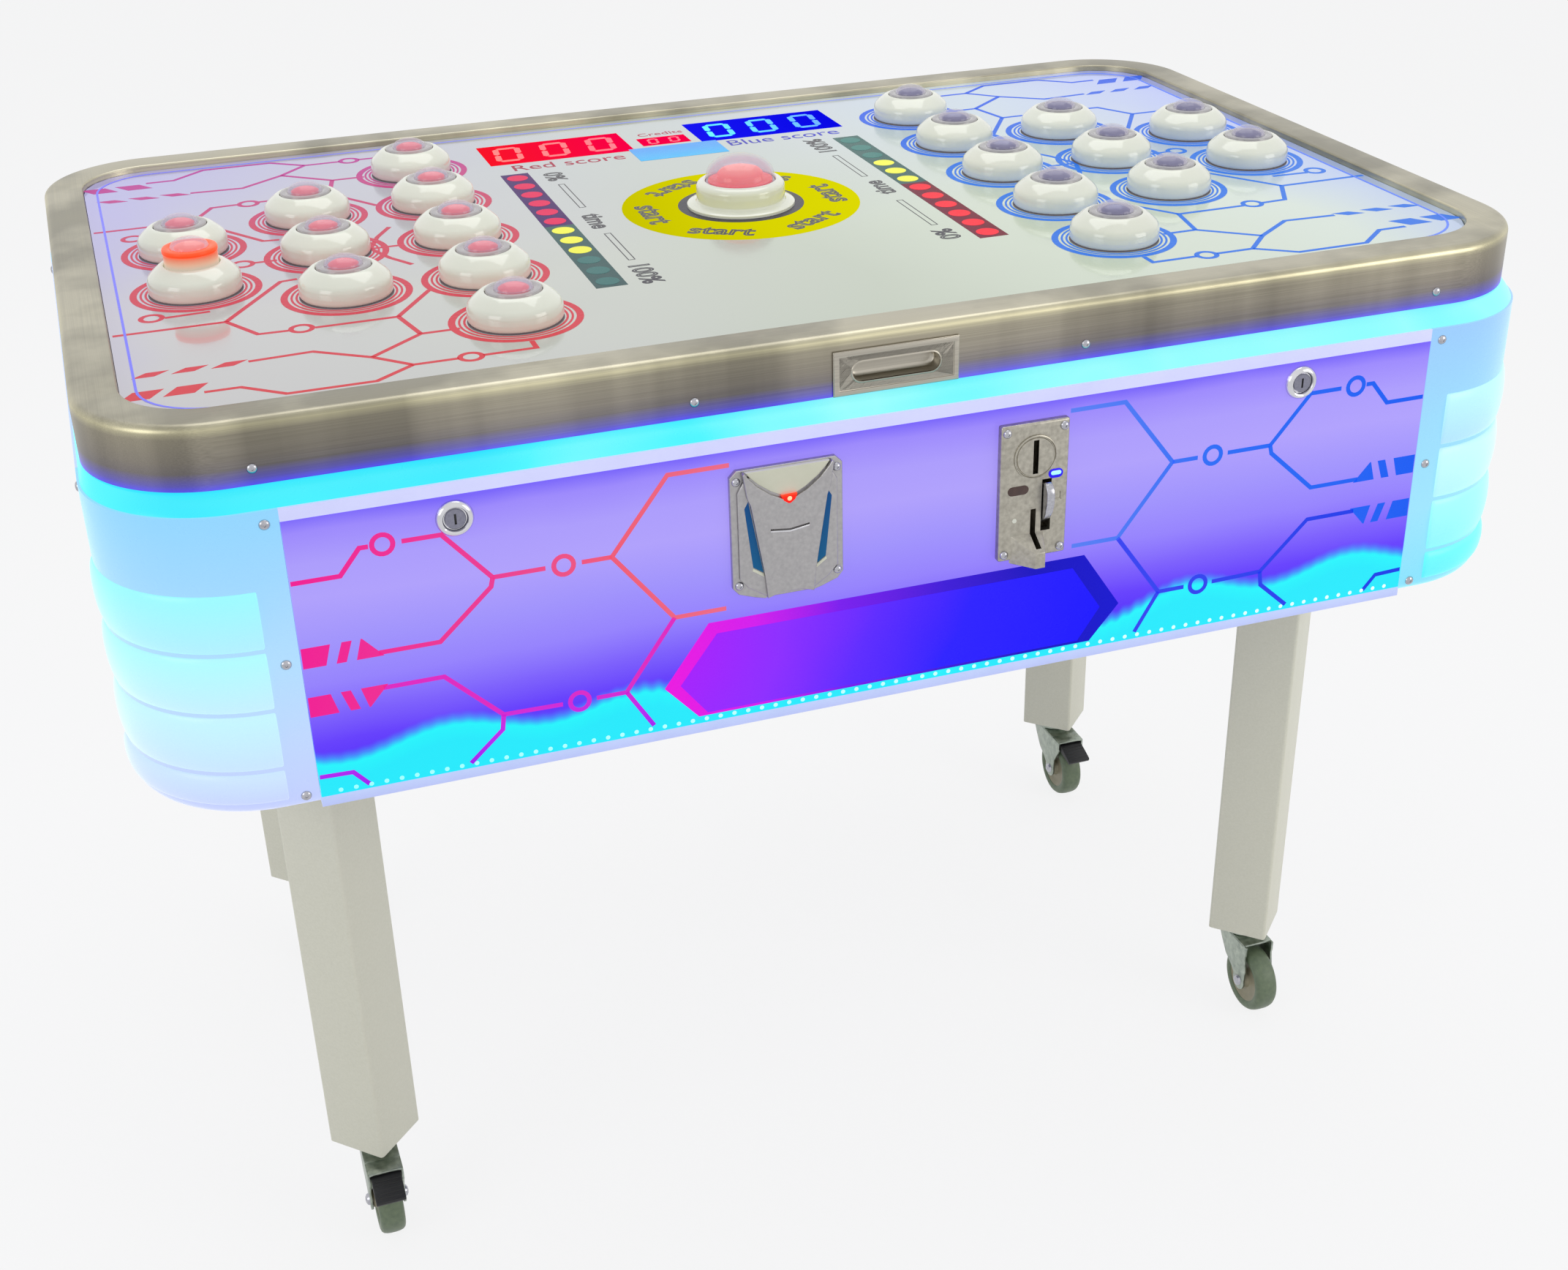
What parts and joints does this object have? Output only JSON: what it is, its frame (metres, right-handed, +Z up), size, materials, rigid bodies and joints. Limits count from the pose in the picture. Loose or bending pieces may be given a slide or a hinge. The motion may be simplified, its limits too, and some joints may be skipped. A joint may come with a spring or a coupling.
{
  "type": "pop-up button reaction table",
  "caption": "Two-player reaction table: cabinet on castered legs, hinged lid with domed pop-up buttons and a start button, drop-down service panel with coin acceptor and card reader.",
  "frame": {"origin": "on the floor under the middle of the table's bounding box", "axes": "+X to the blue player's end, +Y to the rear, +Z up; the service panel faces -Y"},
  "size_m": [1.311, 0.8768, 0.973],
  "materials": {
    "brushed_stainless": "brushed",
    "cast_metal": "satin cast",
    "chrome": "polished",
    "zinc_plate": "zinc plated",
    "zinc_sheet": "galvanised",
    "aluminium_case": "ribbed",
    "cream_powder_coat": "powder coat",
    "white_gloss": "gloss",
    "clear_red": "clear, red light inside",
    "clear_blue": "clear, blue light inside",
    "clear_start": "clear",
    "playfield_print": "printed",
    "cover_sheet": "printed, gloss",
    "band_light": "translucent, lit from behind",
    "lit_panel": "translucent, lit from behind",
    "fairing_plastic": "translucent, lit from behind",
    "cabinet_board": "laminated",
    "green_tread": "polyurethane",
    "black_plastic": "ribbed",
    "circuit_board": "solder mask"
  },
  "bodies": {
    "cabinet": {"cabinet_body": "cabinet_board", "rear_panel": "lit_panel", "left_side_panel": "lit_panel", "right_side_panel": "lit_panel", "front_left_fairing": "fairing_plastic", "front_right_fairing": "fairing_plastic", "rear_left_fairing": "fairing_plastic", "rear_right_fairing": "fairing_plastic", "light_band": "band_light", "front_left_leg": "cream_powder_coat", "front_right_leg": "cream_powder_coat", "rear_left_leg": "cream_powder_coat", "rear_right_leg": "cream_powder_coat", "coin_box": "zinc_sheet", "control_unit": "aluminium_case"},
    "lid": {"lid_rim": "brushed_stainless", "lid_pull_handle": "cast_metal", "playfield_board": "playfield_print", "playfield_cover": "cover_sheet", "display_board": "circuit_board", "red_button_bank": "white_gloss", "blue_button_bank": "white_gloss", "start_button_housing": "white_gloss"},
    "red_dome_01": {"red_dome_01": "clear_red"},
    "red_dome_02": {"red_dome_02": "clear_red"},
    "red_dome_03": {"red_dome_03": "clear_red"},
    "red_dome_04": {"red_dome_04": "clear_red"},
    "red_dome_05": {"red_dome_05": "clear_red"},
    "red_dome_06": {"red_dome_06": "clear_red"},
    "red_dome_07": {"red_dome_07": "clear_red"},
    "red_dome_08": {"red_dome_08": "clear_red"},
    "red_dome_09": {"red_dome_09": "clear_red"},
    "red_dome_10": {"red_dome_10": "clear_red"},
    "blue_dome_01": {"blue_dome_01": "clear_blue"},
    "blue_dome_02": {"blue_dome_02": "clear_blue"},
    "blue_dome_03": {"blue_dome_03": "clear_blue"},
    "blue_dome_04": {"blue_dome_04": "clear_blue"},
    "blue_dome_05": {"blue_dome_05": "clear_blue"},
    "blue_dome_06": {"blue_dome_06": "clear_blue"},
    "blue_dome_07": {"blue_dome_07": "clear_blue"},
    "blue_dome_08": {"blue_dome_08": "clear_blue"},
    "blue_dome_09": {"blue_dome_09": "clear_blue"},
    "blue_dome_10": {"blue_dome_10": "clear_blue"},
    "start_dome": {"start_dome": "clear_start"},
    "service_panel": {"front_service_panel": "lit_panel", "coin_acceptor": "cast_metal", "card_reader": "cast_metal"},
    "coin_return_lever": {"coin_return_lever": "cast_metal"},
    "left_cam_lock": {"left_cam_lock": "chrome"},
    "right_cam_lock": {"right_cam_lock": "chrome"},
    "front_left_caster_fork": {"front_left_caster_fork": "zinc_plate"},
    "front_left_caster_wheel": {"front_left_caster_wheel": "green_tread"},
    "front_right_caster_fork": {"front_right_caster_fork": "zinc_plate"},
    "front_right_caster_wheel": {"front_right_caster_wheel": "green_tread"},
    "rear_left_caster_fork": {"rear_left_caster_fork": "zinc_plate"},
    "rear_left_caster_wheel": {"rear_left_caster_wheel": "green_tread"},
    "rear_right_caster_fork": {"rear_right_caster_fork": "zinc_plate"},
    "rear_right_caster_wheel": {"rear_right_caster_wheel": "green_tread"},
    "front_left_caster_brake_pedal": {"front_left_caster_brake_pedal": "black_plastic"},
    "rear_right_caster_brake_pedal": {"rear_right_caster_brake_pedal": "black_plastic"}
  },
  "joints": [
    {"name": "lid_hinge", "type": "hinge", "parent": "cabinet", "child": "lid", "pos_m": [0, 0.4149, 0.877], "axis": [-1, 0, 0], "range_deg": [0, 65]},
    {"name": "red_dome_01_travel", "type": "slide", "parent": "lid", "child": "red_dome_01", "axis": [0, 0, 1], "range_m": [0, 0.013]},
    {"name": "red_dome_02_travel", "type": "slide", "parent": "lid", "child": "red_dome_02", "axis": [0, 0, 1], "range_m": [0, 0.013]},
    {"name": "red_dome_03_travel", "type": "slide", "parent": "lid", "child": "red_dome_03", "axis": [0, 0, 1], "range_m": [0, 0.013]},
    {"name": "red_dome_04_travel", "type": "slide", "parent": "lid", "child": "red_dome_04", "axis": [0, 0, 1], "range_m": [0, 0.013]},
    {"name": "red_dome_05_travel", "type": "slide", "parent": "lid", "child": "red_dome_05", "axis": [0, 0, 1], "range_m": [0, 0.013]},
    {"name": "red_dome_06_travel", "type": "slide", "parent": "lid", "child": "red_dome_06", "axis": [0, 0, 1], "range_m": [0, 0.013]},
    {"name": "red_dome_07_travel", "type": "slide", "parent": "lid", "child": "red_dome_07", "axis": [0, 0, 1], "range_m": [0, 0.013]},
    {"name": "red_dome_08_travel", "type": "slide", "parent": "lid", "child": "red_dome_08", "axis": [0, 0, 1], "range_m": [0, 0.013]},
    {"name": "red_dome_09_travel", "type": "slide", "parent": "lid", "child": "red_dome_09", "axis": [0, 0, 1], "range_m": [-0.013, 0]},
    {"name": "red_dome_10_travel", "type": "slide", "parent": "lid", "child": "red_dome_10", "axis": [0, 0, 1], "range_m": [0, 0.013]},
    {"name": "blue_dome_01_travel", "type": "slide", "parent": "lid", "child": "blue_dome_01", "axis": [0, 0, 1], "range_m": [0, 0.013]},
    {"name": "blue_dome_02_travel", "type": "slide", "parent": "lid", "child": "blue_dome_02", "axis": [0, 0, 1], "range_m": [0, 0.013]},
    {"name": "blue_dome_03_travel", "type": "slide", "parent": "lid", "child": "blue_dome_03", "axis": [0, 0, 1], "range_m": [0, 0.013]},
    {"name": "blue_dome_04_travel", "type": "slide", "parent": "lid", "child": "blue_dome_04", "axis": [0, 0, 1], "range_m": [0, 0.013]},
    {"name": "blue_dome_05_travel", "type": "slide", "parent": "lid", "child": "blue_dome_05", "axis": [0, 0, 1], "range_m": [0, 0.013]},
    {"name": "blue_dome_06_travel", "type": "slide", "parent": "lid", "child": "blue_dome_06", "axis": [0, 0, 1], "range_m": [0, 0.013]},
    {"name": "blue_dome_07_travel", "type": "slide", "parent": "lid", "child": "blue_dome_07", "axis": [0, 0, 1], "range_m": [0, 0.013]},
    {"name": "blue_dome_08_travel", "type": "slide", "parent": "lid", "child": "blue_dome_08", "axis": [0, 0, 1], "range_m": [0, 0.013]},
    {"name": "blue_dome_09_travel", "type": "slide", "parent": "lid", "child": "blue_dome_09", "axis": [0, 0, 1], "range_m": [0, 0.013]},
    {"name": "blue_dome_10_travel", "type": "slide", "parent": "lid", "child": "blue_dome_10", "axis": [0, 0, 1], "range_m": [0, 0.013]},
    {"name": "start_dome_travel", "type": "slide", "parent": "lid", "child": "start_dome", "axis": [0, 0, 1], "range_m": [-0.01, 0], "stiffness_N_per_m": 300, "springref_m": 0.012},
    {"name": "service_panel_hinge", "type": "hinge", "parent": "cabinet", "child": "service_panel", "pos_m": [0, -0.4121, 0.6053], "axis": [1, 0, 0], "range_deg": [0, 90]},
    {"name": "left_cam_lock_turn", "type": "hinge", "parent": "service_panel", "child": "left_cam_lock", "pos_m": [-0.378, -0.4121, 0.8325], "axis": [0, -1, 0], "range_deg": [0, 90]},
    {"name": "right_cam_lock_turn", "type": "hinge", "parent": "service_panel", "child": "right_cam_lock", "pos_m": [0.378, -0.4121, 0.8325], "axis": [0, 1, 0], "range_deg": [0, 90]},
    {"name": "coin_return_lever_press", "type": "hinge", "parent": "service_panel", "child": "coin_return_lever", "pos_m": [0.129, -0.4124, 0.748], "axis": [-1, 0, 0], "range_deg": [0, 15], "stiffness_Nm_per_rad": 0.05, "springref_deg": -17.19},
    {"name": "front_left_caster_swivel", "type": "hinge", "parent": "cabinet", "child": "front_left_caster_fork", "pos_m": [-0.4955, -0.2341, 0.1], "axis": [0, 0, 1], "continuous": true},
    {"name": "front_left_caster_roll", "type": "hinge", "parent": "front_left_caster_fork", "child": "front_left_caster_wheel", "pos_m": [-0.4955, -0.2621, 0.0375], "axis": [1, 0, 0], "continuous": true},
    {"name": "front_left_caster_brake", "type": "hinge", "parent": "front_left_caster_fork", "child": "front_left_caster_brake_pedal", "pos_m": [-0.4955, -0.2791, 0.0807], "axis": [1, 0, 0], "range_deg": [0, 15]},
    {"name": "front_right_caster_swivel", "type": "hinge", "parent": "cabinet", "child": "front_right_caster_fork", "pos_m": [0.4955, -0.2341, 0.1], "axis": [0, 0, 1], "continuous": true},
    {"name": "front_right_caster_roll", "type": "hinge", "parent": "front_right_caster_fork", "child": "front_right_caster_wheel", "pos_m": [0.4955, -0.2621, 0.0375], "axis": [1, 0, 0], "continuous": true},
    {"name": "rear_left_caster_swivel", "type": "hinge", "parent": "cabinet", "child": "rear_left_caster_fork", "pos_m": [-0.4955, 0.2559, 0.1], "axis": [0, 0, 1], "continuous": true},
    {"name": "rear_left_caster_roll", "type": "hinge", "parent": "rear_left_caster_fork", "child": "rear_left_caster_wheel", "pos_m": [-0.4955, 0.2279, 0.0375], "axis": [1, 0, 0], "continuous": true},
    {"name": "rear_right_caster_swivel", "type": "hinge", "parent": "cabinet", "child": "rear_right_caster_fork", "pos_m": [0.4955, 0.2559, 0.1], "axis": [0, 0, 1], "continuous": true},
    {"name": "rear_right_caster_roll", "type": "hinge", "parent": "rear_right_caster_fork", "child": "rear_right_caster_wheel", "pos_m": [0.4955, 0.2279, 0.0375], "axis": [1, 0, 0], "continuous": true},
    {"name": "rear_right_caster_brake", "type": "hinge", "parent": "rear_right_caster_fork", "child": "rear_right_caster_brake_pedal", "pos_m": [0.4955, 0.2109, 0.0807], "axis": [1, 0, 0], "range_deg": [0, 15]}
  ]
}
